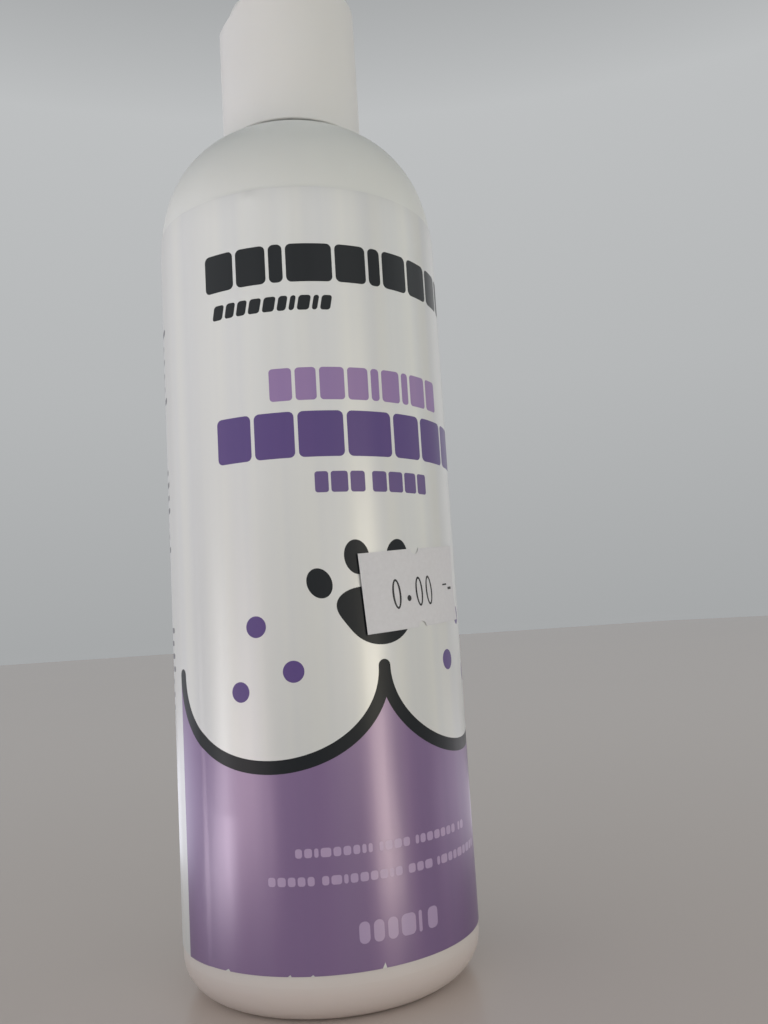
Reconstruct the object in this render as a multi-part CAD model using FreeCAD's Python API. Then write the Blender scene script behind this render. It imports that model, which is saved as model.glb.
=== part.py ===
"""Round squeeze bottle for shampoo with a screw-on disc-top closure.

Millimetres, +Z up. The origin is the centre of the standing face. The label's front panel faces -Y,
the closure's nozzle faces +X and its press face -X.
"""
import FreeCAD
import Part
import os
from math import acos, asin, cos, degrees, radians, sin, sqrt

V = FreeCAD.Vector
ORIGIN = V(0, 0, 0)
UP = V(0, 0, 1)

# --- driving dimensions -------------------------------------------------------------------------
# Bottle body
LABEL_RADIUS = 25.75            # outside of the label on the straight wall
LABEL_THICK = 0.10
BODY_RADIUS = LABEL_RADIUS - LABEL_THICK
WALL = 1.0
BASE_CORNER = 6.35              # radius of the rounded bottom corner
STANDING_RING = 4.2             # width of the flat ring that the bottle stands on
PUSH_UP = 2.2                   # how far the middle of the base is pushed in
PINCH_LENGTH = 24.0             # the mould's pinch-off ridge across the base
PINCH_WIDTH = 0.9
PINCH_HEIGHT = 0.35
SHOULDER_START = 126.9          # top of the straight wall
SHOULDER_HEIGHT = 26.03         # height at which the shoulder's curve would meet the axis
SHOULDER_POWER = 2.5            # exponent of the shoulder's superellipse
SHOULDER_LAND_R = 13.45         # the shoulder goes flat inside this radius

# Neck finish of the common 24 mm kind
NECK_ROOT_R = 10.85
NECK_BORE_R = 9.0
NECK_TOP = 168.4
NECK_FOOT_ROUND = 0.8
NECK_RIM_ROUND = 0.4
THREAD_PITCH = 3.175
NECK_THREAD_TURNS = 1.5
NECK_THREAD_BELOW_TOP = 2.1     # rim to the middle of the thread's upper end
NECK_THREAD_DEPTH = 1.05
NECK_THREAD_BASE = 2.2
NECK_THREAD_CREST = 1.0

# Closure
CAP_RADIUS = 13.2
CAP_BOTTOM = 151.4
CAP_HEIGHT = 28.4
CAP_TOP = CAP_BOTTOM + CAP_HEIGHT
CAP_TOP_ROUND = 0.9
CAP_EDGE_ROUND = 0.3
CAP_SKIRT_R = 12.2              # inside of the skirt, where the cap's thread is rooted
CAP_THREAD_TURNS = 2.0
CAP_THREAD_DEPTH = 1.05
CAP_THREAD_BASE = 1.1
CAP_THREAD_CREST = 0.5
LINER_THICK = 1.0
LINER_GAP = 0.05
LINER_RADIUS = 11.9
LINER_HOLE_R = 3.2
DECK_THICK = 1.2
CHAMBER_R = 11.55               # inside of the closure above the deck

# Rocking disc: its rim and the chamber's upper wall are spheres about the pivot
DISC_RIM_R = 11.42
DISC_TOP_BELOW_RIM = 0.4
PIVOT_BELOW_DISC_TOP = 3.0
DISC_PLATE = 1.4
DISC_RIM_DEPTH = 2.5
DISC_RIM_WIDTH = 1.7
DISC_EDGE_ROUND = 0.35
PIN_R = 1.1
PIN_CLEARANCE = 0.06
PIN_END_Y = 12.5
PIN_START_Y = 10.2
EAR_HALF_WIDTH = 1.6
EAR_INNER_Y = 9.3
SOCKET_END_GAP = 0.15

# Spout: a ball on the disc turns in a cup on the deck
BALL_R = 2.7
BALL_CLEARANCE = 0.06
BALL_BORE_R = 1.5
BALL_CUT_BELOW = 1.8
CUP_WALL = 0.84
CUP_ABOVE_PIVOT = 0.15
DECK_ORIFICE_R = 1.8
NOZZLE_HALF_WIDTH = 2.4
NOZZLE_FLOOR = 0.45             # underside of the nozzle above the pivot
CHANNEL_HALF_WIDTH = 1.6
CHANNEL_LOW = 1.05
CHANNEL_HIGH = 2.25

# Sloping press face cut into the shell's rim, on the -X side
PRESS_FACE_LOW = 23.3           # above the closure's bottom edge, at the outside of the wall
PRESS_FACE_X_AT_RIM = -10.7     # where the face meets the top rim
PRESS_FACE_HOLLOW_R = 9.0       # the face is hollow, for a fingertip

# Label and sticker
LABEL_LOW = 8.06
LABEL_HIGH = 132.2
LABEL_SEAM_DEG = -87.0          # from the front, positive towards +X
LABEL_OVERLAP = 6.0
STICKER_WIDTH = 23.3
STICKER_HEIGHT = 12.85
STICKER_THICK = 0.10
STICKER_DEG = 18.75
STICKER_Z = 65.2
STICKER_TILT = 4.15
NOTCH_R = 0.9                   # half-round notches of the labelling gun in the long edges
NOTCH_LEFT_OF_MIDDLE = 0.65

DISC_TOP = CAP_TOP - DISC_TOP_BELOW_RIM
PIVOT_Z = DISC_TOP - PIVOT_BELOW_DISC_TOP
PIVOT = V(0, 0, PIVOT_Z)
DECK_UNDER = NECK_TOP + LINER_GAP + LINER_THICK
DECK_TOP = DECK_UNDER + DECK_THICK
NECK_THREAD_LOW = NECK_TOP - NECK_THREAD_BELOW_TOP - NECK_THREAD_TURNS * THREAD_PITCH
CAP_THREAD_LOW = NECK_THREAD_LOW - 1.5 * THREAD_PITCH


# --- helpers ------------------------------------------------------------------------------------
def at(r, z):
    """A point of a profile in the XZ plane."""
    return V(r, 0, z)


def line(a, b):
    return Part.LineSegment(a, b).toShape()


def arc(centre, radius, start_deg, end_deg):
    """An arc in the XZ plane, by its start and end angle from +X towards +Z."""
    def point(deg):
        return at(centre.x + radius * cos(radians(deg)), centre.z + radius * sin(radians(deg)))
    return Part.Arc(point(start_deg), point((start_deg + end_deg) / 2), point(end_deg)).toShape()


def spline(points, start_dir, end_dir):
    curve = Part.BSplineCurve()
    curve.interpolate(Points=points, InitialTangent=start_dir, FinalTangent=end_dir)
    return curve.toShape()


def turn(edges, degrees_round=360.0):
    """The solid made by turning a closed profile about the Z axis."""
    face = Part.Face(Part.Wire(Part.__sortEdges__(edges)))
    return face.revolve(ORIGIN, UP, degrees_round)


def polygon(points):
    return [line(a, b) for a, b in zip(points, points[1:] + points[:1])]


def shoulder_points(radius, full_height, end_r, count=12):
    """Points of the shoulder's superellipse, from the straight wall in to radius end_r."""
    end_angle = acos((end_r / radius) ** (SHOULDER_POWER / 2))
    points = []
    for i in range(count + 1):
        a = end_angle * i / count
        points.append(at(radius * cos(a) ** (2 / SHOULDER_POWER),
                         SHOULDER_START + full_height * sin(a) ** (2 / SHOULDER_POWER)))
    return points


def tangent(points, last):
    """The direction of the shoulder's curve at its end, from its last two points."""
    return UP if not last else (points[-1] - points[-2])


def shoulder(radius, full_height, end_r, count=12):
    points = shoulder_points(radius, full_height, end_r, count)
    return spline(points, tangent(points, False), tangent(points, True)), points[-1]


def helix_ridge(root_r, depth, base, crest, turns, z_low, outward):
    """A screw thread of trapezoid section, let 0.4 mm into the wall that it stands on."""
    way = 1 if outward else -1
    sunk = 0.4
    slope = (base - crest) / 2 / depth
    rows = [(-sunk, base / 2 + sunk * slope), (depth, crest / 2)]
    section = [at(root_r + way * rows[0][0], -rows[0][1]), at(root_r + way * rows[1][0], -rows[1][1]),
               at(root_r + way * rows[1][0], rows[1][1]), at(root_r + way * rows[0][0], rows[0][1])]
    wire = Part.Wire(polygon(section))
    path = Part.Wire(Part.makeHelix(THREAD_PITCH, THREAD_PITCH * turns, root_r).Edges)
    pipe = path.makePipeShell([wire], True, True)
    pipe.translate(V(0, 0, z_low))
    return pipe


def only_solid(shape):
    """The one closed solid of a shape, checked."""
    clean = shape.removeSplitter()
    assert len(clean.Solids) == 1 and clean.Solids[0].isValid(), "a piece must be one valid solid"
    return clean.Solids[0]


# --- bottle -------------------------------------------------------------------------------------
def dome_arc(radius, centre_z, edge_z):
    """Half of a dome centred on the axis, from its top out to where it comes down to edge_z."""
    edge_deg = degrees(asin((edge_z - centre_z) / radius))
    return arc(at(0, centre_z), radius, 90, edge_deg), at(radius * cos(radians(edge_deg)), edge_z)


def dome_radius():
    """Radius of the sphere of the pushed-in base."""
    ring_in = BODY_RADIUS - BASE_CORNER - STANDING_RING
    return (ring_in ** 2 + PUSH_UP ** 2) / (2 * PUSH_UP)


def body_outside():
    """The outer profile from the middle of the base up to the neck's root."""
    ring_out = BODY_RADIUS - BASE_CORNER
    land_z = SHOULDER_START + shoulder_land_height()
    outer_curve, curve_end = shoulder(BODY_RADIUS, SHOULDER_HEIGHT, SHOULDER_LAND_R)
    return [
        dome_arc(dome_radius(), PUSH_UP - dome_radius(), 0)[0],
        line(at(ring_out - STANDING_RING, 0), at(ring_out, 0)),
        arc(at(ring_out, BASE_CORNER), BASE_CORNER, -90, 0),
        line(at(BODY_RADIUS, BASE_CORNER), at(BODY_RADIUS, SHOULDER_START)),
        outer_curve,
        line(curve_end, at(NECK_ROOT_R + NECK_FOOT_ROUND, land_z)),
        arc(at(NECK_ROOT_R + NECK_FOOT_ROUND, land_z + NECK_FOOT_ROUND), NECK_FOOT_ROUND, 270, 180),
    ]


def bottle_blank():
    """The body's outside as one filled solid, for cutting the label to fit."""
    foot_z = SHOULDER_START + shoulder_land_height() + NECK_FOOT_ROUND
    return turn(body_outside() + [line(at(NECK_ROOT_R, foot_z), at(0, foot_z)),
                                  line(at(0, foot_z), at(0, PUSH_UP))])


def make_bottle():
    ring_out = BODY_RADIUS - BASE_CORNER
    land_z = SHOULDER_START + shoulder_land_height()
    rim = NECK_RIM_ROUND
    inner_dome, inner_dome_end = dome_arc(dome_radius() + WALL, PUSH_UP - dome_radius(), WALL)
    outer = body_outside() + [
        line(at(NECK_ROOT_R, land_z + NECK_FOOT_ROUND), at(NECK_ROOT_R, NECK_TOP - rim)),
        arc(at(NECK_ROOT_R - rim, NECK_TOP - rim), rim, 0, 90),
        line(at(NECK_ROOT_R - rim, NECK_TOP), at(NECK_BORE_R + rim, NECK_TOP)),
        arc(at(NECK_BORE_R + rim, NECK_TOP - rim), rim, 90, 180),
    ]
    in_r = BODY_RADIUS - WALL
    in_corner = BASE_CORNER - WALL
    in_land_z = land_z - WALL
    in_land_r = SHOULDER_LAND_R - 0.6
    inner_curve, inner_end = shoulder(in_r, inner_shoulder_height(in_r, in_land_r, in_land_z), in_land_r)
    throat = NECK_FOOT_ROUND
    inner = [
        line(at(NECK_BORE_R, NECK_TOP - rim), at(NECK_BORE_R, in_land_z + throat)),
        arc(at(NECK_BORE_R + throat, in_land_z + throat), throat, 180, 270),
        line(at(NECK_BORE_R + throat, in_land_z), inner_end),
        inner_curve,
        line(at(in_r, SHOULDER_START), at(in_r, BASE_CORNER)),
        arc(at(ring_out, BASE_CORNER), in_corner, 0, -90),
        line(at(ring_out, WALL), inner_dome_end),
        inner_dome,
        line(at(0, WALL + PUSH_UP), at(0, PUSH_UP)),
    ]
    body = turn(outer + inner)
    thread = helix_ridge(NECK_ROOT_R, NECK_THREAD_DEPTH, NECK_THREAD_BASE, NECK_THREAD_CREST,
                         NECK_THREAD_TURNS, NECK_THREAD_LOW, True)
    return only_solid(body.fuse(thread).fuse(pinch_off_ridge()))


def pinch_off_ridge():
    """The low straight ridge that the mould leaves where it pinches the base shut."""
    centre = V(0, 0, PUSH_UP - dome_radius())
    band = Part.makeSphere(dome_radius() + WALL / 2, centre)
    band = band.cut(Part.makeSphere(dome_radius() - PINCH_HEIGHT, centre))
    return band.common(Part.makeBox(PINCH_LENGTH, PINCH_WIDTH, 2 * PUSH_UP,
                                    V(-PINCH_LENGTH / 2, -PINCH_WIDTH / 2, 0)))


def shoulder_land_height():
    """Height above the straight wall at which the outer shoulder goes flat."""
    share = 1 - (SHOULDER_LAND_R / BODY_RADIUS) ** SHOULDER_POWER
    return SHOULDER_HEIGHT * share ** (1 / SHOULDER_POWER)


def inner_shoulder_height(in_r, land_r, land_z):
    """Full height of the inner superellipse that passes through the inner land's corner."""
    share = 1 - (land_r / in_r) ** SHOULDER_POWER
    return (land_z - SHOULDER_START) / share ** (1 / SHOULDER_POWER)


# --- closure ------------------------------------------------------------------------------------
def sphere_r(height):
    """Radius of the chamber's spherical upper wall at a height above the pivot."""
    return sqrt(CHAMBER_R ** 2 - height ** 2)


def shell_body():
    """The shell's turned shape: skirt, deck with its orifice, spout cup and chamber."""
    rim_r = sphere_r(CAP_TOP - CAP_EDGE_ROUND - PIVOT_Z)
    mid = (CAP_TOP - CAP_EDGE_ROUND - PIVOT_Z) / 2
    cup_in = BALL_R + BALL_CLEARANCE
    cup_out = cup_in + CUP_WALL
    cup_top = PIVOT_Z + CUP_ABOVE_PIVOT
    edge = CAP_EDGE_ROUND
    floor_z = DECK_UNDER + DECK_THICK / 2
    return turn([
        line(at(CAP_SKIRT_R + edge, CAP_BOTTOM), at(CAP_RADIUS - edge, CAP_BOTTOM)),
        arc(at(CAP_RADIUS - edge, CAP_BOTTOM + edge), edge, -90, 0),
        line(at(CAP_RADIUS, CAP_BOTTOM + edge), at(CAP_RADIUS, CAP_TOP - CAP_TOP_ROUND)),
        arc(at(CAP_RADIUS - CAP_TOP_ROUND, CAP_TOP - CAP_TOP_ROUND), CAP_TOP_ROUND, 0, 90),
        line(at(CAP_RADIUS - CAP_TOP_ROUND, CAP_TOP), at(rim_r + edge, CAP_TOP)),
        line(at(rim_r + edge, CAP_TOP), at(rim_r, CAP_TOP - edge)),
        Part.Arc(at(rim_r, CAP_TOP - edge), at(sphere_r(mid), PIVOT_Z + mid), at(CHAMBER_R, PIVOT_Z)).toShape(),
        line(at(CHAMBER_R, PIVOT_Z), at(CHAMBER_R, DECK_TOP)),
        line(at(CHAMBER_R, DECK_TOP), at(cup_out, DECK_TOP)),
        line(at(cup_out, DECK_TOP), at(cup_out, cup_top)),
        line(at(cup_out, cup_top), at(cup_in, cup_top)),
        line(at(cup_in, cup_top), at(cup_in, floor_z)),
        line(at(cup_in, floor_z), at(DECK_ORIFICE_R, floor_z)),
        line(at(DECK_ORIFICE_R, floor_z), at(DECK_ORIFICE_R, DECK_UNDER)),
        line(at(DECK_ORIFICE_R, DECK_UNDER), at(CAP_SKIRT_R, DECK_UNDER)),
        line(at(CAP_SKIRT_R, DECK_UNDER), at(CAP_SKIRT_R, CAP_BOTTOM + edge)),
        line(at(CAP_SKIRT_R, CAP_BOTTOM + edge), at(CAP_SKIRT_R + edge, CAP_BOTTOM)),
    ])


def press_face_cutter():
    """A wide slightly hollow slope that takes the rim down on the -X side."""
    low = at(-CAP_RADIUS, CAP_BOTTOM + PRESS_FACE_LOW)
    high = at(PRESS_FACE_X_AT_RIM, CAP_TOP)
    run = high - low
    outward = V(-run.z, 0, run.x).normalize()
    middle = (low + high) * 0.5
    half = run.Length / 2
    sag = PRESS_FACE_HOLLOW_R - sqrt(PRESS_FACE_HOLLOW_R ** 2 - half ** 2)
    step = run.normalize() * (half + 2)
    far_low = middle - step
    far_high = middle + step
    bulge = sag * ((half + 2) / half) ** 2
    face = Part.Face(Part.Wire([
        Part.Arc(far_low + outward * (bulge - sag), middle - outward * sag,
                 far_high + outward * (bulge - sag)).toShape(),
        line(far_high + outward * (bulge - sag), far_high + outward * 9),
        line(far_high + outward * 9, far_low + outward * 9),
        line(far_low + outward * 9, far_low + outward * (bulge - sag)),
    ]))
    face.translate(V(0, -20, 0))
    return face.extrude(V(0, 40, 0))


def pivot_rod(radius, y_from, y_to):
    return Part.makeCylinder(radius, y_to - y_from, V(0, y_from, PIVOT_Z), V(0, 1, 0))


def make_cap_shell():
    thread = helix_ridge(CAP_SKIRT_R, CAP_THREAD_DEPTH, CAP_THREAD_BASE, CAP_THREAD_CREST,
                         CAP_THREAD_TURNS, CAP_THREAD_LOW, False)
    shell = shell_body().fuse(thread).cut(press_face_cutter())
    socket_end = PIN_END_Y + SOCKET_END_GAP
    for y_from, y_to in ((-socket_end, -CHAMBER_R + 1), (CHAMBER_R - 1, socket_end)):
        shell = shell.cut(pivot_rod(PIN_R + PIN_CLEARANCE, y_from, y_to))
    return only_solid(shell)


def disc_box(x_from, x_to, half_y, low, high):
    """A block of the disc, with its heights counted from the pivot."""
    return Part.makeBox(x_to - x_from, 2 * half_y, high - low, V(x_from, -half_y, PIVOT_Z + low))


def make_press_disc():
    top = PIVOT_BELOW_DISC_TOP
    under = top - DISC_PLATE
    rim_under = top - DISC_RIM_DEPTH
    plate = Part.makeCylinder(DISC_RIM_R + 1, DISC_PLATE, V(0, 0, PIVOT_Z + under))
    rim = Part.makeCylinder(DISC_RIM_R + 1, DISC_RIM_DEPTH, V(0, 0, PIVOT_Z + rim_under))
    rim = rim.cut(Part.makeCylinder(DISC_RIM_R - DISC_RIM_WIDTH, DISC_RIM_DEPTH, V(0, 0, PIVOT_Z + rim_under)))
    nozzle = disc_box(0, DISC_RIM_R + 1, NOZZLE_HALF_WIDTH, NOZZLE_FLOOR, under)
    disc = plate.fuse(rim).fuse(nozzle)
    for side in (-1, 1):
        y_low = min(side * EAR_INNER_Y, side * (DISC_RIM_R + 1))
        ear = Part.makeBox(2 * EAR_HALF_WIDTH, DISC_RIM_R + 1 - EAR_INNER_Y, under + 0.2,
                           V(-EAR_HALF_WIDTH, y_low, PIVOT_Z))
        round_end = pivot_rod(EAR_HALF_WIDTH, y_low, y_low + DISC_RIM_R + 1 - EAR_INNER_Y)
        disc = disc.fuse(ear).fuse(round_end)
    disc = disc.common(Part.makeSphere(DISC_RIM_R, PIVOT))
    top_edges = [e for e in disc.Edges
                 if e.BoundBox.ZLength < 0.01 and abs(e.BoundBox.ZMin - DISC_TOP) < 0.01]
    disc = disc.makeFillet(DISC_EDGE_ROUND, top_edges)
    ball = Part.makeSphere(BALL_R, PIVOT).common(
        Part.makeCylinder(BALL_R + 1, BALL_CUT_BELOW + under + 0.3, V(0, 0, PIVOT_Z - BALL_CUT_BELOW)))
    disc = disc.fuse(ball)
    for y_from, y_to in ((-PIN_END_Y, -PIN_START_Y), (PIN_START_Y, PIN_END_Y)):
        disc = disc.fuse(pivot_rod(PIN_R, y_from, y_to))
    bore = Part.makeCylinder(BALL_BORE_R, BALL_CUT_BELOW + CHANNEL_HIGH + 1, V(0, 0, PIVOT_Z - BALL_CUT_BELOW - 1))
    channel = disc_box(0, DISC_RIM_R + 1, CHANNEL_HALF_WIDTH, CHANNEL_LOW, CHANNEL_HIGH)
    return only_solid(disc.cut(bore).cut(channel))


def make_liner():
    z = NECK_TOP + LINER_GAP
    washer = Part.makeCylinder(LINER_RADIUS, LINER_THICK, V(0, 0, z))
    return only_solid(washer.cut(Part.makeCylinder(LINER_HOLE_R, LINER_THICK, V(0, 0, z))))


# --- label and sticker --------------------------------------------------------------------------
def film_sector(inner_r, thick, low, high, start_deg, sweep_deg):
    """Film on the straight wall between two heights, over a sweep of angles from the front."""
    film = turn(polygon([at(inner_r, low), at(inner_r + thick, low), at(inner_r + thick, high),
                         at(inner_r, high)]), sweep_deg)
    film.rotate(ORIGIN, UP, start_deg - 90)
    return film


def make_label():
    """One film round the bottle up over the start of the shoulder, with a second layer at the seam."""
    points = shoulder_points(BODY_RADIUS, SHOULDER_HEIGHT, shoulder_radius(LABEL_HIGH - SHOULDER_START))
    out = V(LABEL_THICK, 0, 0)
    outer = spline([p + out for p in points], UP, points[-1] - points[-2])
    in_r = BODY_RADIUS - WALL
    film = turn([line(at(in_r, LABEL_LOW), at(LABEL_RADIUS, LABEL_LOW)),
                 line(at(LABEL_RADIUS, LABEL_LOW), points[0] + out), outer,
                 line(points[-1] + out, at(in_r, LABEL_HIGH)),
                 line(at(in_r, LABEL_HIGH), at(in_r, LABEL_LOW))])
    film = film.cut(bottle_blank())
    overlap_deg = degrees(LABEL_OVERLAP / LABEL_RADIUS)
    overlap = film_sector(LABEL_RADIUS, LABEL_THICK, LABEL_LOW, SHOULDER_START,
                          LABEL_SEAM_DEG, overlap_deg)
    return only_solid(film.fuse(overlap))


def shoulder_radius(rise):
    """Radius of the shoulder at a height above its start."""
    return BODY_RADIUS * (1 - (rise / SHOULDER_HEIGHT) ** SHOULDER_POWER) ** (1 / SHOULDER_POWER)


def sticker_outline():
    """Corners of the tilted sticker as (distance round the label from its middle, height)."""
    c, s = cos(radians(STICKER_TILT)), sin(radians(STICKER_TILT))
    w, h = STICKER_WIDTH / 2, STICKER_HEIGHT / 2
    return [(x * c - y * s, x * s + y * c) for x, y in ((-w, -h), (w, -h), (w, h), (-w, h))]


def from_front(u, v):
    """A point well in front of the bottle, level with the place (u, v) on the label."""
    return V(LABEL_RADIUS * sin(u / LABEL_RADIUS), -2 * LABEL_RADIUS, v)


def make_sticker():
    """A small rectangle of paper on the label, cut from a thin film by its outline seen from the front."""
    half_deg = degrees(STICKER_WIDTH * 0.6 / LABEL_RADIUS)
    film = film_sector(LABEL_RADIUS, STICKER_THICK, -STICKER_HEIGHT, STICKER_HEIGHT, -half_deg, 2 * half_deg)
    corners = [from_front(u, v) for u, v in sticker_outline()]
    inward = V(0, 2 * LABEL_RADIUS, 0)
    sticker = film.common(Part.Face(Part.makePolygon(corners + corners[:1])).extrude(inward))
    c, s = cos(radians(STICKER_TILT)), sin(radians(STICKER_TILT))
    for side in (-1, 1):
        x, y = -NOTCH_LEFT_OF_MIDDLE, side * STICKER_HEIGHT / 2
        middle = from_front(x * c - y * s, x * s + y * c)
        sticker = sticker.cut(Part.makeCylinder(NOTCH_R, inward.Length, middle, inward))
    sticker.rotate(ORIGIN, UP, STICKER_DEG)
    sticker.translate(V(0, 0, STICKER_Z))
    return only_solid(sticker)


# --- write the pieces ---------------------------------------------------------------------------
PIECES = {
    "bottle": make_bottle,
    "wrap_label": make_label,
    "price_sticker": make_sticker,
    "sealing_liner": make_liner,
    "cap_shell": make_cap_shell,
    "press_disc": make_press_disc,
}

os.makedirs("parts", exist_ok=True)
for name, make in PIECES.items():
    solid = make()
    solid.exportStep("parts/" + name + ".step")
    box = solid.BoundBox
    print(name, "volume mm3 %.1f" % solid.Volume, "z %.2f to %.2f" % (box.ZMin, box.ZMax))
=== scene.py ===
"""Looks of the shampoo bottle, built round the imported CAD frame. Blender works in metres here; the label's
print is laid out flat in millimetres: u runs round the bottle from the middle of the front, v is height."""
import math
import random

import bpy
import numpy as np
from mathutils import Matrix, Vector
from mathutils.geometry import delaunay_2d_cdt
from mathutils.kdtree import KDTree


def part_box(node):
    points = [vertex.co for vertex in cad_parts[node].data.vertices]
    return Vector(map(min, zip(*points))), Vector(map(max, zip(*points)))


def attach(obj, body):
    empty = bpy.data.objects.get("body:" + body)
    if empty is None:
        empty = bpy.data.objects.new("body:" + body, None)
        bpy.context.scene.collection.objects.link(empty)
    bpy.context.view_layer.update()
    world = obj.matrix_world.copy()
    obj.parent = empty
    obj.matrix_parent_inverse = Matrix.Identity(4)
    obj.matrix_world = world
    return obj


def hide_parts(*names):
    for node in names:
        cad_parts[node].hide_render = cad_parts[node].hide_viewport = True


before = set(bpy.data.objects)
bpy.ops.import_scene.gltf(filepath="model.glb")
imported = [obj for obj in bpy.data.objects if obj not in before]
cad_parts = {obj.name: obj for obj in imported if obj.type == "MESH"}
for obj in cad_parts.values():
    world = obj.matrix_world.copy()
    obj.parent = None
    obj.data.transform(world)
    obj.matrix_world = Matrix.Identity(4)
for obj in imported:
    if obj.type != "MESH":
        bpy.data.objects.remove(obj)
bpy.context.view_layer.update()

MM = 0.001
TAU = 2 * math.pi
scene = bpy.context.scene


def node_box(name):
    """A CAD node's lowest and highest corners in millimetres."""
    low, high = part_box(name)
    return Vector(low) / MM, Vector(high) / MM


# ------------------------------------------------------------------------------------------------
# Sizes in millimetres, read from the frame where it shows them
# ------------------------------------------------------------------------------------------------
LABEL_LOW, LABEL_HIGH = node_box("wrap_label")[0].z, node_box("wrap_label")[1].z
FILM = 0.10                                     # thickness of the label film
LABEL_R = node_box("wrap_label")[1].x           # outside of the label on the straight wall
BOTTLE_R = node_box("bottle")[1].x

# Painted shade and a painted warm reflection at the bottle's foot: it is a little darker and warmer, fully so
# below the second of these heights
FOOT_TOP = 14.0
FOOT_FULL = 5.0

# The shoulder's curve, which the film follows over its top few millimetres
SHOULDER_START = 126.9
SHOULDER_HEIGHT = 26.03
SHOULDER_POWER = 2.5

SEAM_DEG = -87.0                                # the film's visible end, counted from the front
OVERLAP = 6.0                                   # how far the film's second layer goes on past that end
DEG = math.radians(1) * LABEL_R                 # millimetres round the label for one degree
PANEL_HALF = -SEAM_DEG * DEG                    # half-width of the front panel
SEAM_U = SEAM_DEG * DEG
ROUND = 360 * DEG                               # once round the label


# ------------------------------------------------------------------------------------------------
# Materials
# ------------------------------------------------------------------------------------------------
def linear(r, g, b):
    """A colour given as screen values from 0 to 255, made linear."""
    def one(c):
        c /= 255
        return c / 12.92 if c <= 0.04045 else ((c + 0.055) / 1.055) ** 2.4
    return (one(r), one(g), one(b), 1.0)


# The Mix node's sockets for colours share their names with those for numbers, so they go by number
MIX_A, MIX_B, MIX_RESULT = 6, 7, 2


class Nodes:
    """A small helper that adds and joins nodes of one material."""

    def __init__(self, name):
        self.material = bpy.data.materials.new(name)
        self.material.use_nodes = True
        self.tree = self.material.node_tree
        self.shader = self.tree.nodes["Principled BSDF"]

    def set(self, **values):
        for key, value in values.items():
            self.shader.inputs[key.replace("_", " ")].default_value = value

    def add(self, kind, **values):
        node = self.tree.nodes.new(kind)
        for key, value in values.items():
            setattr(node, key, value)
        return node

    def link(self, a, b):
        self.tree.links.new(a, b)

    def place(self, scale):
        """Object coordinates, stretched by scale."""
        coordinates = self.add("ShaderNodeTexCoord")
        mapping = self.add("ShaderNodeMapping")
        mapping.inputs["Scale"].default_value = scale
        self.link(coordinates.outputs["Object"], mapping.inputs["Vector"])
        return mapping.outputs["Vector"]

    def noise(self, scale, detail=3.0, rough=0.5):
        """Noise with its own scale along X, Y and Z, in waves per metre."""
        node = self.add("ShaderNodeTexNoise")
        node.inputs["Scale"].default_value = 1.0
        node.inputs["Detail"].default_value = detail
        node.inputs["Roughness"].default_value = rough
        self.link(self.place(scale), node.inputs["Vector"])
        return node.outputs["Fac"]

    def spread(self, value, low, high, from_low=0.3, from_high=0.7):
        """Maps a value between from_low and from_high, at first a noise's middle range, onto low to high."""
        node = self.add("ShaderNodeMapRange")
        node.inputs["From Min"].default_value = from_low
        node.inputs["From Max"].default_value = from_high
        node.inputs["To Min"].default_value = low
        node.inputs["To Max"].default_value = high
        self.link(value, node.inputs["Value"])
        return node.outputs["Result"]

    def mix(self, factor, a, b):
        """A colour mixed from a to b; each may be a colour or a socket."""
        node = self.add("ShaderNodeMix", data_type="RGBA")
        places = (node.inputs["Factor"], node.inputs[MIX_A], node.inputs[MIX_B])
        for socket, value in zip(places, (factor, a, b)):
            if isinstance(value, bpy.types.NodeSocket):
                self.link(value, socket)
            else:
                socket.default_value = value
        return node.outputs[MIX_RESULT]

    def add_bump(self, height, strength, distance):
        """A bump on top of any bump that is already there."""
        node = self.add("ShaderNodeBump")
        node.inputs["Strength"].default_value = strength
        node.inputs["Distance"].default_value = distance
        self.link(height, node.inputs["Height"])
        old = self.shader.inputs["Normal"]
        if old.is_linked:
            self.link(old.links[0].from_socket, node.inputs["Normal"])
        self.link(node.outputs["Normal"], old)


def scaled(colour, share):
    """A colour made darker or lighter."""
    return tuple(c * share for c in colour[:3]) + (1.0,)


def moulded_plastic(name, colour, roughness, orange_peel, flow=0.0, foot=None):
    """White polyolefin: a little light goes in, the skin is faintly pebbled, and it is never quite even.
    Over its lowest millimetres it goes over to the colour foot, which paints shade and a warm reflection
    there."""
    n = Nodes(name)
    tone = n.spread(n.noise((60, 60, 22), 4), 0.0, 1.0)
    skin = n.mix(tone, scaled(colour, 0.965), colour)
    # Painted shade and warm reflection at the foot: the colour goes darker and warmer towards the floor
    if foot:
        height = n.add("ShaderNodeSeparateXYZ")
        n.link(n.place((1, 1, 1)), height.inputs["Vector"])
        foot_shade = n.spread(height.outputs["Z"], 0.0, 1.0, FOOT_TOP * MM, FOOT_FULL * MM)
        skin = n.mix(foot_shade, skin, foot)
    n.link(skin, n.shader.inputs["Base Color"])
    smudge = n.noise((120, 120, 70), 5, 0.65)
    n.link(n.spread(smudge, roughness - 0.05, roughness + 0.07), n.shader.inputs["Roughness"])
    n.set(Subsurface_Weight=0.25, Subsurface_Scale=0.0015, IOR=1.5)
    n.shader.inputs["Subsurface Radius"].default_value = (1.0, 0.9, 0.8)
    n.add_bump(n.noise((900, 900, 900), 3), orange_peel, 0.00005)
    if flow:
        n.add_bump(n.noise((350, 350, 9), 2), flow, 0.00008)
    return n.material


FILM_IOR = 1.8
WHITE = (1, 1, 1, 1)


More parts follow.
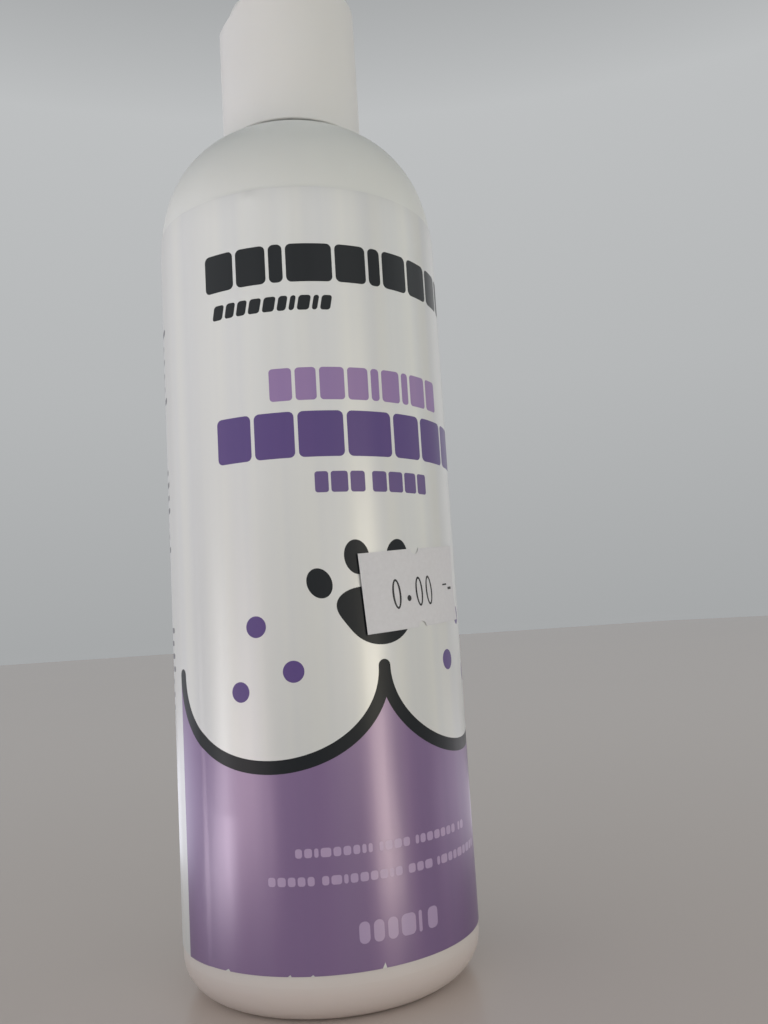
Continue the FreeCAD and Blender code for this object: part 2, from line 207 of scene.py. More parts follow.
def pearl_film(name, colour, roughness=0.40, vary=0.05, gloss=0.8, tint=WHITE):
    """Printed pearlescent film, wound on: its highlights are drawn out into tall soft streaks, and its colour
    carries a painted sheen in upright bands.
    """
    n = Nodes(name)
    # Painted sheen: random upright bands, lighter and warmer or darker and cooler by vary, stand in the
    # film's colour for its tinted highlight streaks
    sheen_streak = n.spread(n.noise((230, 230, 1.2), 2, 0.5), 0.0, 1.0)
    warm = tuple(c * t for c, t in zip(scaled(colour, 1 + vary), (1.01, 0.995, 0.965))) + (1.0,)
    cool = tuple(c * t for c, t in zip(scaled(colour, 1 - vary), (0.99, 0.99, 1.03))) + (1.0,)
    n.link(n.mix(sheen_streak, cool, warm), n.shader.inputs["Base Color"])
    rubbed = n.noise((300, 300, 3), 2)
    n.link(n.spread(rubbed, roughness - 0.04, roughness + 0.05), n.shader.inputs["Roughness"])
    n.set(Specular_IOR_Level=gloss, Specular_Tint=tint, IOR=FILM_IOR)
    n.set(Anisotropic=0.5, Anisotropic_Rotation=0.25)
    tangent = n.add("ShaderNodeTangent", direction_type="RADIAL", axis="Z")
    n.link(tangent.outputs["Tangent"], n.shader.inputs["Tangent"])
    n.add_bump(n.noise((45, 45, 14), 2), 0.08, 0.0004)
    return n.material


def paper(name, colour):
    """Matt paper with fine fibres."""
    n = Nodes(name)
    fibre = n.noise((1500, 1500, 1500), 5, 0.7)
    n.link(n.mix(n.spread(fibre, 0, 1), scaled(colour, 0.93), colour), n.shader.inputs["Base Color"])
    n.set(Roughness=0.72)
    n.add_bump(fibre, 0.25, 0.00003)
    return n.material


def foam(name, colour):
    """Soft foam with small cells."""
    n = Nodes(name)
    cell = n.add("ShaderNodeTexVoronoi")
    cell.inputs["Scale"].default_value = 1.0
    n.link(n.place((2600, 2600, 2600)), cell.inputs["Vector"])
    n.link(n.mix(cell.outputs["Distance"], scaled(colour, 0.85), colour), n.shader.inputs["Base Color"])
    n.set(Roughness=0.85)
    n.add_bump(cell.outputs["Distance"], 0.5, 0.0001)
    return n.material


WHITE_PLASTIC = linear(206, 208, 205)
# The foot's colour, darker and pinker than the plastic: painted shade and a painted warm reflection
SHADED_FOOT_PLASTIC = linear(201, 190, 185)

MATERIALS = {
    "bottle": moulded_plastic("bottle_plastic", WHITE_PLASTIC, 0.36, 0.12, 0.12, SHADED_FOOT_PLASTIC),
    "closure": moulded_plastic("closure_plastic", linear(209, 209, 207), 0.42, 0.10),
    "liner": foam("liner_foam", linear(232, 232, 228)),
    "sticker": paper("sticker_paper", linear(197, 197, 201)),
    "sticker_ink": paper("sticker_ink", linear(38, 38, 42)),
    "film": pearl_film("film_white", linear(188, 190, 188), 0.34, gloss=1.0),
    "purple": pearl_film("film_purple", linear(88, 58, 108), 0.34, 0.07, 1.0, (0.98, 0.86, 1.0, 1)),
    "charcoal": pearl_film("film_charcoal", linear(20, 24, 28), 0.36, 0.06, 0.12),
    "dark_purple": pearl_film("film_dark_purple", linear(84, 66, 120), gloss=0.15),
    "mid_purple": pearl_film("film_mid_purple", linear(96, 80, 126), gloss=0.15),
    "light_purple": pearl_film("film_light_purple", linear(137, 113, 158), gloss=0.2),
    "lilac": pearl_film("film_lilac", linear(158, 136, 170), gloss=0.6),
    "grey": pearl_film("film_grey", linear(84, 84, 92), gloss=0.4),
}


# ------------------------------------------------------------------------------------------------
# Flat outlines for the print, in millimetres, each a closed list of points
# ------------------------------------------------------------------------------------------------
def rounded_box(cx, cy, w, h, r, lean=0.0, steps=5):
    """A rounded rectangle round (cx, cy); lean shifts its top to the right, as in slanted letters."""
    r = min(r, w / 2 - 0.001, h / 2 - 0.001)
    points = []
    for qx, qy, start in ((1, 1, 0), (-1, 1, 90), (-1, -1, 180), (1, -1, 270)):
        for i in range(steps + 1):
            a = math.radians(start + 90 * i / steps)
            x = qx * (w / 2 - r) + r * math.cos(a)
            y = qy * (h / 2 - r) + r * math.sin(a)
            points.append((cx + x + lean * y, cy + y))
    return points


def disc(cx, cy, r, squash=1.0, turn=0.0, steps=40):
    """A circle, or an ellipse that is squash times as wide as it is high, turned by turn degrees."""
    c, s = math.cos(math.radians(turn)), math.sin(math.radians(turn))
    points = []
    for i in range(steps):
        a = TAU * i / steps
        x, y = r * squash * math.cos(a), r * math.sin(a)
        points.append((cx + x * c - y * s, cy + x * s + y * c))
    return points


def blocks(centre, base, height, widths, gap, corner, lean=0.0, word_gap=0.0):
    """A row of rounded blocks that stands in for a line of print; a width of 0 is a space between words."""
    total = sum(widths) + gap * (len([w for w in widths if w]) - 1) + word_gap * widths.count(0)
    x = centre - total / 2
    row = []
    for w in widths:
        if w == 0:
            x += word_gap
            continue
        row.append(rounded_box(x + w / 2, base + height / 2, w, height, corner, lean))
        x += w + gap
    return row


LETTER_WIDTHS = (0.55, 0.9, 1.0, 1.0, 1.1, 1.35)      # as shares of the usual width


def words(counts, size, seed):
    """Widths of letter-sized blocks, for words of so many blocks each."""
    rng = random.Random(seed)
    widths = []
    for count in counts:
        widths += [0] * bool(widths)
        widths += [size * rng.choice(LETTER_WIDTHS) for _ in range(count)]
    return widths


STROKE = 2.1                                    # width of the charcoal outline
SCALLOP_TOP = 53.0                              # height of its points
SCALLOP_DEPTH = 14.4
SCALLOP_HALF = (PANEL_HALF - STROKE / 2) / 2    # half-width of a scallop, two across the front panel


SCALLOP_STEPS = 60


def scallop(side, grow=0.0):
    """The line of one scallop, a half-ellipse that hangs from its two points, from left to right."""
    middle = side * SCALLOP_HALF
    points = []
    for i in range(SCALLOP_STEPS + 1):
        a = math.pi * i / SCALLOP_STEPS
        across = (SCALLOP_HALF + grow) * math.cos(a)
        down = (SCALLOP_DEPTH + grow) * math.sin(a)
        points.append((middle - across, SCALLOP_TOP - down))
    return points


def scallop_outline(side):
    """One scallop drawn with the outline's full width."""
    return scallop(side, STROKE / 2) + scallop(side, -STROKE / 2)[::-1]


# The paw's pad, a circle with three soft lobes, wider below; all but the steps are shares of the paw's size
PAD_STEPS = 72
PAD_R = 0.66
PAD_LOBE = 0.07
PAD_PEAR = 0.05
PAD_WIDE, PAD_TALL = 1.05, 0.86
PAD_DROP = 0.34


def paw(cx, cy, across, up):
    """A plain paw print: four toes and a three-lobed pad. A toe is x, y, size, width over height and turn."""
    toes = [(-0.95, 0.22, 0.30, 0.80, 24), (-0.35, 0.70, 0.34, 0.76, 9),
            (0.35, 0.70, 0.34, 0.76, -9), (0.95, 0.22, 0.30, 0.80, -24)]
    shapes = [disc(cx + x * across, cy + y * up, r * up, q, t) for x, y, r, q, t in toes]
    pad = []
    for i in range(PAD_STEPS):
        a = TAU * i / PAD_STEPS
        r = PAD_R + PAD_LOBE * math.cos(3 * (a + math.pi / 2)) - PAD_PEAR * math.sin(a)
        x = across * r * PAD_WIDE * math.cos(a)
        y = up * (r * PAD_TALL * math.sin(a) - PAD_DROP)
        pad.append((cx + x, cy + y))
    return shapes + [pad]


# Bars that stand in for the words of a paragraph
BAR_GAP = 0.55
BAR_WIDTHS = (1.4, 6.0)                         # shortest and longest
LEAST_ROOM = 2                                  # a line that has less room left than this ends
LAST_LINE_END = (-0.3, 0.5)                     # where the last line ends, in half-widths from the middle
RAGGED = 3                                      # how much shorter a line may be


def text_lines(centre, top, width, count, pitch, height, seed):
    """Short lines of word-long bars, ragged at the right, as a stand-in for a paragraph."""
    rng = random.Random(seed)
    bars = []
    for i in range(count):
        x = centre - width / 2
        reach = 1 if i < count - 1 else rng.uniform(*LAST_LINE_END)
        end = centre + width / 2 * reach - rng.uniform(0, RAGGED)
        while x < end - LEAST_ROOM:
            w = min(rng.uniform(*BAR_WIDTHS), end - x)
            bars.append(rounded_box(x + w / 2, top - i * pitch, w, height, height / 2.2, steps=2))
            x += w + BAR_GAP
    return bars


CODE_BARS = (0.25, 0.25, 0.5, 0.75)             # widths to draw from
CODE_SPACES = (0.3, 0.3, 0.55)
CODE_END = 0.6                                  # no bar starts this close to the right end


def barcode(cx, cy, w, h, seed):
    """Plain upright bars of made-up widths."""
    rng = random.Random(seed)
    x, bars = cx - w / 2, []
    while x < cx + w / 2 - CODE_END:
        bar = rng.choice(CODE_BARS)
        bars.append([(x, cy - h / 2), (x + bar, cy - h / 2), (x + bar, cy + h / 2), (x, cy + h / 2)])
        x += bar + rng.choice(CODE_SPACES)
    return bars


BACK = ROUND / 2                                # middle of the back panel
PARAGRAPHS = BACK + 2.2                         # middle of its wide paragraphs
PARAGRAPH_WIDTH = 72.6


def printed_regions():
    """Every printed area as (ink, outline), later ones on top of earlier ones."""
    edge = scallop(-1) + scallop(1)[1:]
    field = [(-PANEL_HALF, LABEL_LOW), (PANEL_HALF, LABEL_LOW), (PANEL_HALF, SCALLOP_TOP)]
    field += edge[::-1] + [(-PANEL_HALF, SCALLOP_TOP)]
    regions = [("purple", field)]
    regions += [("charcoal", scallop_outline(side)) for side in (-1, 1)]
    regions += [("charcoal", disc(side * 2 * SCALLOP_HALF, SCALLOP_TOP, STROKE / 2)) for side in (-1, 0, 1)]
    # Small nicks in the film's lower edge, as (u, half-width, height)
    nicks = ((-2.9, 0.35, 0.8), (-13.9, 0.3, 0.25), (-17.4, 0.3, 0.3), (-28.3, 0.5, 0.35))
    regions += [("film", [(u - w, LABEL_LOW), (u + w, LABEL_LOW), (u + w / 3, LABEL_LOW + h)])
                for u, w, h in nicks]
    regions += [("charcoal", shape) for shape in paw(0, 64.6, 10.4, 8.2)]
    bubbles = ((-20.4, 60.2, 1.7), (-14.6, 53.0, 1.7), (-23.6, 50.2, 1.6),
               (15.2, 53.0, 1.7), (21.6, 60.4, 1.6), (25.4, 50.4, 1.6))
    regions += [("dark_purple", disc(u, v, r)) for u, v, r in bubbles]
    rows = [
        ("charcoal", blocks(0, 115.7, 6.5, (5.6, 5.2, 2.3, 7.6, 5.4, 2.3, 5.4, 5.6, 5.4, 5.2), 0.55, 0.9)),
        ("charcoal", blocks(-15.8, 110.9, 2.5, (2.0, 1.7, 1.7, 2.0, 2.0, 1.5, 0.9, 2.0, 0.9, 1.7),
                            0.45, 0.5, 0.2)),
        ("light_purple", blocks(0.3, 95.9, 5.4, (3.7, 3.4, 4.1, 3.6, 1.5, 3.7, 1.5, 4.1, 3.4), 0.55, 0.6)),
        ("dark_purple", blocks(0, 86.6, 7.5, (6.3, 6.6, 7.4, 8.0, 6.0, 7.2, 7.2), 0.6, 0.9)),
        ("mid_purple", blocks(0.9, 80.8, 3.4, (2.2, 2.8, 2.5, 0, 2.7, 2.9, 2.7, 2.3),
                              0.4, 0.45, word_gap=0.9)),
        ("lilac", blocks(0.6, 25.1, 1.35, words((9, 4, 7, 2), 1.18, 4), 0.34, 0.4, word_gap=0.8)),
        ("lilac", blocks(0.9, 21.0, 1.35, words((5, 9, 3, 9), 1.18, 9), 0.34, 0.4, word_gap=0.8)),
        ("lilac", blocks(0.4, 12.0, 3.2, (1.7, 1.7, 1.7, 2.6, 0.6, 0, 2.1), 0.6, 0.8, word_gap=0.6)),
    ]
    for ink, row in rows:
        regions += [(ink, outline) for outline in row]
    regions += back_print()
    return regions


def back_print():
    """The back panel: headings, paragraphs, a barcode and a small round mark, all stand-ins."""
    regions = [("dark_purple", o) for o in blocks(BACK - 12.5, 119.5, 4.0, (9, 12, 8), 1.0, 1.1)]
    regions += [("grey", o) for o in text_lines(PARAGRAPHS, 114.0, PARAGRAPH_WIDTH, 7, 2.5, 1.05, 3)]
    regions += [("dark_purple", o) for o in blocks(BACK - 19, 91.6, 2.4, (8, 11), 0.9, 0.8)]
    regions += [("grey", o) for o in text_lines(PARAGRAPHS, 88.6, PARAGRAPH_WIDTH, 9, 2.3, 0.95, 5)]
    regions += [("dark_purple", o) for o in blocks(BACK - 21, 63.6, 2.4, (10, 5), 0.9, 0.8)]
    regions += [("grey", o) for o in text_lines(PARAGRAPHS, 60.6, PARAGRAPH_WIDTH, 8, 2.2, 0.9, 8)]
    regions += [("grey", o) for o in text_lines(BACK - 12.5, 37.4, 37, 7, 2.3, 0.9, 13)]
    regions += [("charcoal", o) for o in barcode(BACK + 18.5, 28.5, 22, 15, 21)]
    regions += [(ink, disc(BACK - 27.0, 16.0, r))
                for ink, r in (("dark_purple", 2.6), ("film", 2.0), ("dark_purple", 1.1))]
    regions += [("grey", o) for o in text_lines(BACK - 8.0, 17.2, 30, 2, 2.3, 0.9, 34)]
    return regions


# ------------------------------------------------------------------------------------------------
# The label: one film with its print, wrapped on the bottle
# ------------------------------------------------------------------------------------------------
def shoulder_share(v):
    """How much narrower the bottle is at height v than on its straight wall, as a share."""
    rise = max(0.0, v - SHOULDER_START) / SHOULDER_HEIGHT
    return (1 - rise ** SHOULDER_POWER) ** (1 / SHOULDER_POWER)


def smooth(t):
    """Eases from 0 to 1 while t goes from 0 to 1."""
    t = max(0.0, min(1.0, t))
    return t * t * (3 - 2 * t)


SEAM_EASE = 1.5                                 # over this width the second layer comes down onto the wall
BUBBLE_U, BUBBLE_V = -18.6, 130.9               # a small air bubble by the film's top edge
BUBBLE_WIDE, BUBBLE_TALL = 1.3, 1.5
BUBBLE_RISE = 0.16


def film_radius(u, v):
    """Outside of the film: a second layer lies over its own end at the seam, and a bubble at the top edge."""
    over = 1 - smooth((u - SEAM_U - OVERLAP) / SEAM_EASE)
    bubble = math.exp(-(((u - BUBBLE_U) / BUBBLE_WIDE) ** 2 + ((v - BUBBLE_V) / BUBBLE_TALL) ** 2))
    return BOTTLE_R * shoulder_share(v) + FILM * (1 + over) + BUBBLE_RISE * bubble


def wrap(u, v, radius):
    """The point in metres at (u, v) of the flat layout, radius millimetres from the bottle's axis."""
    a = u / LABEL_R
    return (radius * math.sin(a) * MM, -radius * math.cos(a) * MM, v * MM)


ROWS_ON_WALL = 30
ROWS_ON_SHOULDER = 9
COLUMNS = 240                                   # upright lines once round the film


def film_rows():
    """Heights of the film's horizontal lines, closer together on the shoulder."""
    straight = list(np.linspace(LABEL_LOW, SHOULDER_START, ROWS_ON_WALL))
    return straight + list(np.linspace(SHOULDER_START, LABEL_HIGH, ROWS_ON_SHOULDER)[1:])


INSIDE_ONLY = 1                                 # delaunay_2d_cdt then leaves out what is outside the outline
SAME_POINT = 1e-4                               # points closer than this are joined


def cut_flat(outline, lines, regions, base_ink):
    """Cuts a flat sheet along lines and round printed regions. Returns points, triangles and their inks."""
    points, edges, faces = [], [], []
    for loop in [outline] + [shape for _, shape in regions]:
        first = len(points)
        points.extend(Vector(p) for p in loop)
        faces.append(list(range(first, len(points))))
    for line in lines:
        edges.append((len(points), len(points) + 1))
        points.extend(Vector(p) for p in line)
    made, _, triangles, _, _, sources = delaunay_2d_cdt(points, edges, faces, INSIDE_ONLY, SAME_POINT)
    inks = [base_ink] + [ink for ink, _ in regions]
    return made, triangles, [inks[max(s)] if s else base_ink for s in sources]


def rim_loop(triangles):
    """The points along the edge of a sheet of triangles, in order."""
    sides = {(t[i], t[(i + 1) % 3]) for t in triangles for i in range(3)}
    after = {a: b for a, b in sides if (b, a) not in sides}
    start = min(after)
    loop, point = [start], after[start]
    while point != start:
        loop.append(point)
        point = after[point]
    return loop


SLOPE_STEP = 0.02                               # how far apart a slope is measured


def normal_at(place, u, v):
    """The outward direction of a wrapped sheet at (u, v)."""
    along = Vector(place(u + SLOPE_STEP, v)) - Vector(place(u - SLOPE_STEP, v))
    up = Vector(place(u, v + SLOPE_STEP)) - Vector(place(u, v - SLOPE_STEP))
    return along.cross(up).normalized()


def film_solid(name, outline, lines, regions, base_ink, place, thick):
    """A thin closed film: a printed front, a plain back thick millimetres inside it, and its cut edge.
    place(u, v, depth) gives the point that is depth millimetres under the front."""
    def front(u, v):
        return place(u, v, 0)

    flat, triangles, inks = cut_flat(outline, lines, regions, base_ink)
    loop = rim_loop(triangles)
    back, back_triangles, _ = cut_flat([flat[i] for i in loop], lines, [], base_ink)
    first = len(flat)
    finder = KDTree(len(back))
    for i, p in enumerate(back):
        finder.insert((p.x, p.y, 0), i)
    finder.balance()
    under = {i: first + finder.find((flat[i].x, flat[i].y, 0))[1] for i in loop}
    faces = [tuple(t) for t in triangles]
    faces += [tuple(first + i for i in reversed(t)) for t in back_triangles]
    faces += [(b, a, under[a], under[b]) for a, b in zip(loop, loop[1:] + loop[:1])]
    points = [front(p.x, p.y) for p in flat] + [place(p.x, p.y, thick) for p in back]
    normals = [normal_at(front, p.x, p.y) for p in flat]
    normals += [-normal_at(front, p.x, p.y) for p in back]
    names = sorted(set(inks))
    slots = [names.index(ink) for ink in inks]
    slots += [names.index(base_ink)] * (len(faces) - len(slots))
    film = new_object(name, points, faces, [MATERIALS[n] for n in names], slots)
    film.data.normals_split_custom_set_from_vertices(normals)
    return film


def new_object(name, points, faces, materials, slots=None):
    """A smooth-shaded mesh object; slots gives each face's material by number."""
    mesh = bpy.data.meshes.new(name)
    mesh.from_pydata([tuple(p) for p in points], [], faces)
    for material in materials:
        mesh.materials.append(material)
    if slots is not None:
        mesh.polygons.foreach_set("material_index", slots)
    mesh.polygons.foreach_set("use_smooth", [True] * len(mesh.polygons))
    mesh.update()
    obj = bpy.data.objects.new(name, mesh)
    scene.collection.objects.link(obj)
    return obj


def make_label():
    """The film in its flat layout, once round from the seam, with its print."""
    left, right = SEAM_U, SEAM_U + ROUND
    upright = [left + ROUND * i / COLUMNS for i in range(1, COLUMNS)]
    # Closer lines where the second layer comes down
    upright += [left + OVERLAP + step for step in (0.4, 0.8, 1.2, 1.6)]
    lines = [((u, LABEL_LOW), (u, LABEL_HIGH)) for u in upright]
    lines += [((left, v), (right, v)) for v in film_rows()[1:-1]]
    outline = [(left, LABEL_LOW), (right, LABEL_LOW), (right, LABEL_HIGH), (left, LABEL_HIGH)]

    def place(u, v, depth):
        return wrap(u, v, film_radius(u, v) - depth)

    # The back stays a little off the bottle's wall, so that the two never share a surface
    return film_solid("label", outline, lines, printed_regions(), "film", place, FILM * 0.9)


# The price sticker, tilted a little, with its own flat layout: x to the right and y up from its middle
STICKER_WIDTH = 23.3
STICKER_HEIGHT = 12.85
STICKER_THICK = 0.10
STICKER_TILT = math.radians(4.15)
STICKER_U = 18.75 * DEG
STICKER_GAP = 0.03                              # air between the label and the paper
LEFT_LIFT, LEFT_LIFT_WIDTH = 0.34, 1.6          # how far its left edge has come up, and over what width
CORNER_LIFT, CORNER_LIFT_WIDTH = 0.22, 2.5      # the same of its right corners
RIPPLE = 0.02                                   # how far the paper waves in and out
RIPPLE_X, RIPPLE_Y = 1.1, 0.7                   # the waves' radians for each millimetre
STICKER_COLUMNS, STICKER_ROWS = 42, 12          # lines of its mesh, with those on the edges
NOTCH_R = 0.9
NOTCH_X = -0.65
NOTCH_STEPS = 12


def sticker_outline():
    """A rectangle with half-round notches near the middle of its lower and upper edge, counter-clockwise."""
    w, h = STICKER_WIDTH / 2, STICKER_HEIGHT / 2
    turns = [math.pi * i / NOTCH_STEPS for i in range(NOTCH_STEPS + 1)]
    half_round = [(NOTCH_X - NOTCH_R * math.cos(a), NOTCH_R * math.sin(a)) for a in turns]
    lower = [(x, y - h) for x, y in half_round]
    upper = [(x, h - y) for x, y in reversed(half_round)]
    return [(-w, -h)] + lower + [(w, -h), (w, h)] + upper + [(-w, h)]


def sticker_print():
    """Plain zeros in a price's layout, typed by a labelling gun, a point and two stray dashes."""
    tall, wide, stroke, y, turn = 4.85, 1.7, 0.38, -0.65, 1.5
    regions = []
    for x in (-5.45, -0.56, 1.92):
        for ink, cut in (("sticker_ink", 0), ("sticker", stroke)):
            squash = (wide - 2 * cut) / (tall - 2 * cut)
            regions.append((ink, disc(x, y, tall / 2 - cut, squash, turn)))
    regions.append(("sticker_ink", disc(-3.0, -1.55, 0.5, 0.9, steps=16)))
    regions.append(("sticker_ink", rounded_box(7.25, -0.07, 1.7, 0.28, 0.12)))
    regions.append(("sticker_ink", rounded_box(9.4, -0.8, 1.8, 0.45, 0.2)))
    return regions


def make_sticker():
    """The sticker on the label, tilted, with its print."""
    low, high = node_box("price_sticker")
    middle_v = (low.z + high.z) / 2
    c, s = math.cos(STICKER_TILT), math.sin(STICKER_TILT)
    w, h = STICKER_WIDTH / 2, STICKER_HEIGHT / 2

    def place(x, y, depth):
        """The paper lies on the label, but its left edge and its right corners have come up a little."""
        lift = LEFT_LIFT * smooth((-x - w + LEFT_LIFT_WIDTH) / LEFT_LIFT_WIDTH)
        lift += CORNER_LIFT * smooth((x - w + CORNER_LIFT_WIDTH) / CORNER_LIFT_WIDTH) * abs(y / h)
        lift += RIPPLE * math.sin(RIPPLE_X * x + RIPPLE_Y * y)
        radius = LABEL_R + STICKER_THICK + STICKER_GAP + lift - depth
        return wrap(STICKER_U + x * c - y * s, middle_v + x * s + y * c, radius)

    lines = [((x, -h), (x, h)) for x in np.linspace(-w, w, STICKER_COLUMNS)[1:-1]]
    lines += [((-w, y), (w, y)) for y in np.linspace(-h, h, STICKER_ROWS)[1:-1]]
    return film_solid("sticker", sticker_outline(), lines, sticker_print(), "sticker", place, STICKER_THICK)


label = make_label()
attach(label, "bottle")
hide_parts("wrap_label")

sticker = make_sticker()
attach(sticker, "bottle")
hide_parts("price_sticker")


# ------------------------------------------------------------------------------------------------
# CAD nodes that keep their own shape get their materials
# ------------------------------------------------------------------------------------------------
def dress(node, material):
    """Gives a CAD node its material."""
    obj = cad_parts[node]
    for slot in obj.material_slots:
        slot.link = "OBJECT"
        slot.material = material


dress("bottle", MATERIALS["bottle"])
dress("cap_shell", MATERIALS["closure"])
dress("press_disc", MATERIALS["closure"])
dress("sealing_liner", MATERIALS["liner"])


# ------------------------------------------------------------------------------------------------
# Floor, light and camera
# ------------------------------------------------------------------------------------------------
FRONT_FROM_CAMERA = 23.6                        # degrees that the label's front is turned from the camera
FLOOR_HALF = 4.0                                # metres from the bottle to the floor's edges


def make_floor():
    """A plain pale floor, level with the bottle's standing face."""
    n = Nodes("floor")
    n.set(Base_Color=linear(205, 192, 184), Roughness=0.22)
    corners = [(x * FLOOR_HALF, y * FLOOR_HALF, 0) for x, y in ((-1, -1), (1, -1), (1, 1), (-1, 1))]
    floor = new_object("floor", corners, [(0, 1, 2, 3)], [n.material])
    return floor


def all_but(thing):
    """A light's receivers: everything except this object."""
    receivers = bpy.data.collections.new("all_but_" + thing.name)
    receivers.objects.link(thing)
    receivers.collection_objects[0].light_linking.link_state = "EXCLUDE"
    return receivers


ROOM_TONES = ((0.0, 165), (0.25, 180), (0.5, 188), (0.75, 118), (1.0, 60))    # height and screen grey
ROOM_STRENGTH = 1.02
BRIGHT_SIDE = math.radians(-45)                 # which way the room's bright side lies, from the front
BRIGHT_EXTRA = 1.95
# Where the bright side begins and is full: above the horizon, under the ceiling, and round to the side
HORIZON_EASE = (0.09, 0.26)
CEILING_EASE = (0.85, 0.45)
SIDE_EASE = (-0.4, 0.6)


def make_world():
    """A pale room; its front left, well above the horizon, lights the bottle more than it shows."""
    world = bpy.data.worlds.new("studio")
    world.use_nodes = True
    tree = world.node_tree
    way = tree.nodes.new("ShaderNodeTexCoord")
    parts = tree.nodes.new("ShaderNodeSeparateXYZ")
    ramp = tree.nodes.new("ShaderNodeValToRGB")
    stops = ramp.color_ramp.elements
    for i, (place, tone) in enumerate(ROOM_TONES):
        stop = stops[i] if i < 2 else stops.new(place)
        stop.position = place
        stop.color = linear(tone, tone + 2, tone + 3)
    tree.links.new(way.outputs["Generated"], parts.inputs["Vector"])
    tree.links.new(parts.outputs["Z"], ramp.inputs["Fac"])
    tree.links.new(ramp.outputs["Color"], tree.nodes["Background"].inputs["Color"])

    def eased(value, low, high):
        """Goes softly from 0 to 1 while value goes from low to high, which may be a fall."""
        node = tree.nodes.new("ShaderNodeMapRange")
        node.interpolation_type = "SMOOTHSTEP"
        node.inputs["From Min"].default_value = low
        node.inputs["From Max"].default_value = high
        tree.links.new(value, node.inputs["Value"])
        return node.outputs["Result"]

    def math_node(kind, *values):
        """Arithmetic on values that may be numbers or sockets."""
        node = tree.nodes.new("ShaderNodeMath")
        node.operation = kind
        for socket, value in zip(node.inputs, values):
            if isinstance(value, bpy.types.NodeSocket):
                tree.links.new(value, socket)
            else:
                socket.default_value = value
        return node.outputs[0]

    front = tree.nodes.new("ShaderNodeVectorMath")
    front.operation = "DOT_PRODUCT"
    front.inputs[1].default_value = (math.sin(BRIGHT_SIDE), -math.cos(BRIGHT_SIDE), 0)
    tree.links.new(way.outputs["Generated"], front.inputs[0])
    over_horizon = eased(parts.outputs["Z"], *HORIZON_EASE)
    under_ceiling = eased(parts.outputs["Z"], *CEILING_EASE)
    above = math_node("MULTIPLY", over_horizon, under_ceiling)
    path = tree.nodes.new("ShaderNodeLightPath")
    unseen = math_node("SUBTRACT", 1.0, path.outputs["Is Camera Ray"])
    lit = math_node("MULTIPLY", above, eased(front.outputs["Value"], *SIDE_EASE))
    bright = math_node("MULTIPLY", lit, unseen)
    strength = math_node("MULTIPLY_ADD", bright, BRIGHT_EXTRA, ROOM_STRENGTH)
    tree.links.new(strength, tree.nodes["Background"].inputs["Strength"])
    scene.world = world


LIGHT_AIM = Vector((0, 0, 85 * MM))             # about half the bottle's height
FLOOR_LIGHT_HEIGHT = 1 * MM                     # low lights lie just over the floor


def area_light(name, azimuth, elevation, distance, width, height, power, colour, receivers=None):
    """A rectangle of light aimed at the bottle, unseen by the camera; azimuth 0 is in front of the label,
    positive towards +X. Receivers, if given, say which objects it lights."""
    a, e = math.radians(azimuth), math.radians(elevation)
    way = Vector((math.sin(a) * math.cos(e), -math.cos(a) * math.cos(e), math.sin(e)))
    data = bpy.data.lights.new(name, "AREA")
    data.shape = "RECTANGLE"
    data.size, data.size_y = width, height
    data.energy = power
    data.color = colour
    light = bpy.data.objects.new(name, data)
    light.location = LIGHT_AIM + way * distance
    light.rotation_euler = (-way).to_track_quat("-Z", "Y").to_euler()
    light.visible_camera = False
    if receivers:
        light.light_linking.receiver_collection = receivers
    scene.collection.objects.link(light)


def low_light(name, azimuth, near, far, width, radiance, colour):
    """A strip of light that lies on the floor facing up, from near to far from the bottle's axis. The camera
    doesn't see it. It shines onto the bottle and shows in its gloss."""
    a = math.radians(azimuth)
    middle = (near + far) / 2
    data = bpy.data.lights.new(name, "AREA")
    data.shape = "RECTANGLE"
    data.size, data.size_y = width, far - near
    # A flat light gives off pi times its radiance for each unit of its area
    data.energy = radiance * math.pi * width * (far - near)
    data.color = colour
    light = bpy.data.objects.new(name, data)
    light.location = (middle * math.sin(a), -middle * math.cos(a), FLOOR_LIGHT_HEIGHT)
    light.rotation_euler = (math.pi, 0, a)
    light.visible_camera = False
    scene.collection.objects.link(light)


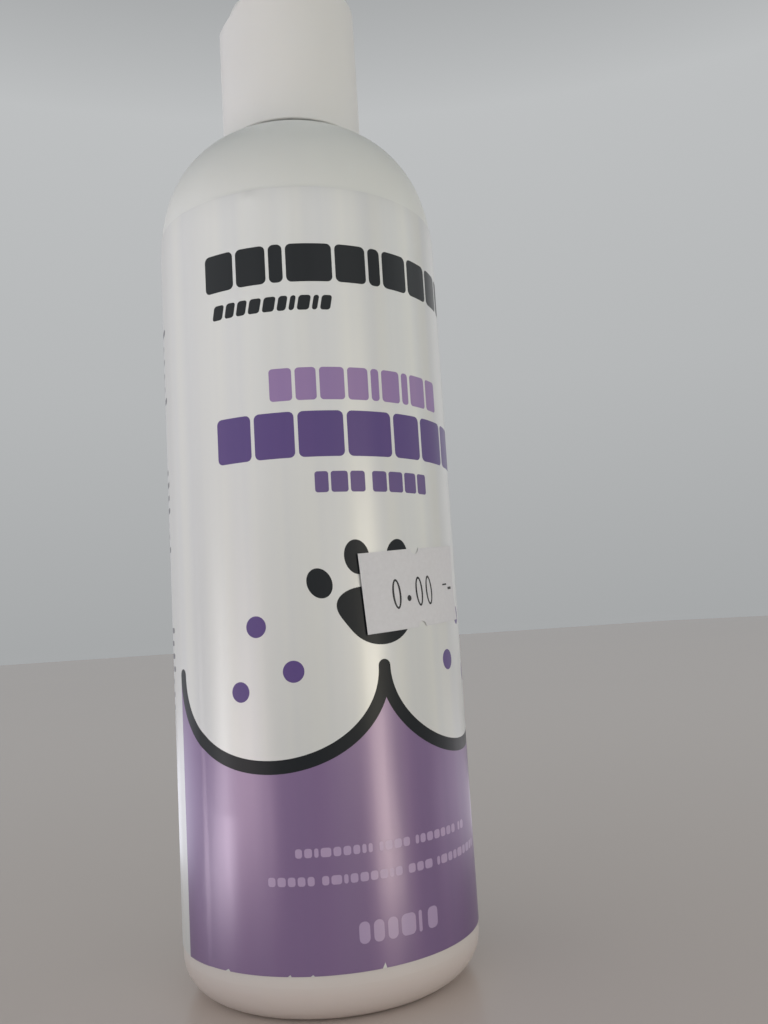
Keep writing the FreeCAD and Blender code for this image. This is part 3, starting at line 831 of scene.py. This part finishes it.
def make_lights(floor):
    """Soft lights round the bottle. Those with above_floor leave no patch of light on the floor."""
    above_floor = all_but(floor)
    area_light("front", -46, 20, 1.1, 1.5, 0.4, 0.64, (0.98, 1.0, 0.98))
    area_light("right_fill", 66, 18, 1.2, 0.9, 0.7, 1.15, (0.96, 1.0, 0.97))
    area_light("right_edge", 118, 10, 1.1, 0.5, 0.7, 0.42, (0.98, 0.98, 1.0), above_floor)
    area_light("left_fill", -142, 12, 1.1, 0.6, 0.9, 0.5, (0.93, 0.95, 1.0))
    warm, pink = (1.0, 0.91, 0.74), (1.0, 0.86, 0.86)
    area_light("warm_panel", 10, -2, 0.9, 0.9, 0.12, 0.7, warm, above_floor)
    area_light("warm_strip", 18, -2, 0.9, 0.20, 0.12, 0.40, warm, above_floor)
    area_light("left_panel", -101, -3.3, 0.9, 0.26, 0.07, 0.20, (1.0, 0.97, 0.97), above_floor)
    area_light("pink_panel", -76, -3.3, 0.9, 0.30, 0.07, 0.11, pink, above_floor)
    low_light("warm_floor", 18, 0.085, 0.4, 0.035, 3.6, warm)
    low_light("pink_floor", -80, 0.12, 0.5, 0.12, 2.4, pink)
    low_light("back_left_floor", -155, 0.10, 0.5, 0.25, 1.3, (0.84, 0.86, 1.0))
    low_light("right_floor", 98, 0.10, 0.5, 0.20, 0.75, (0.95, 0.93, 1.0))
    low_light("left_floor", -102, 0.085, 0.45, 0.05, 3.4, (1.0, 0.97, 1.0))


def make_camera():
    """The camera close to the bottle, a little below its middle, rolled and turned as a hand-held one."""
    distance, height = 172.5 * MM, 58.93 * MM
    pitch, yaw, roll = (math.radians(d) for d in (-7.05, -4.49, -3.48))
    round_bottle = math.radians(FRONT_FROM_CAMERA)
    level = Matrix(((1, 0, 0), (0, 0, -1), (0, 1, 0))) @ Matrix.Rotation(round_bottle, 3, "Z")
    turn = Matrix.Rotation(roll, 3, "Z") @ Matrix.Rotation(pitch, 3, "X") @ Matrix.Rotation(yaw, 3, "Y")
    flip = Matrix(((1, 0, 0), (0, -1, 0), (0, 0, -1)))
    place = Vector((-distance * math.sin(round_bottle), -distance * math.cos(round_bottle), height))
    data = bpy.data.cameras.new("camera")
    data.sensor_width = 36.0
    data.lens = 32.8
    data.clip_start = 0.01
    camera = bpy.data.objects.new("camera", data)
    camera.matrix_world = Matrix.Translation(place) @ (flip @ turn @ level).transposed().to_4x4()
    scene.collection.objects.link(camera)
    scene.camera = camera


floor = make_floor()
make_world()
make_lights(floor)
make_camera()
scene.view_settings.view_transform = "Standard"
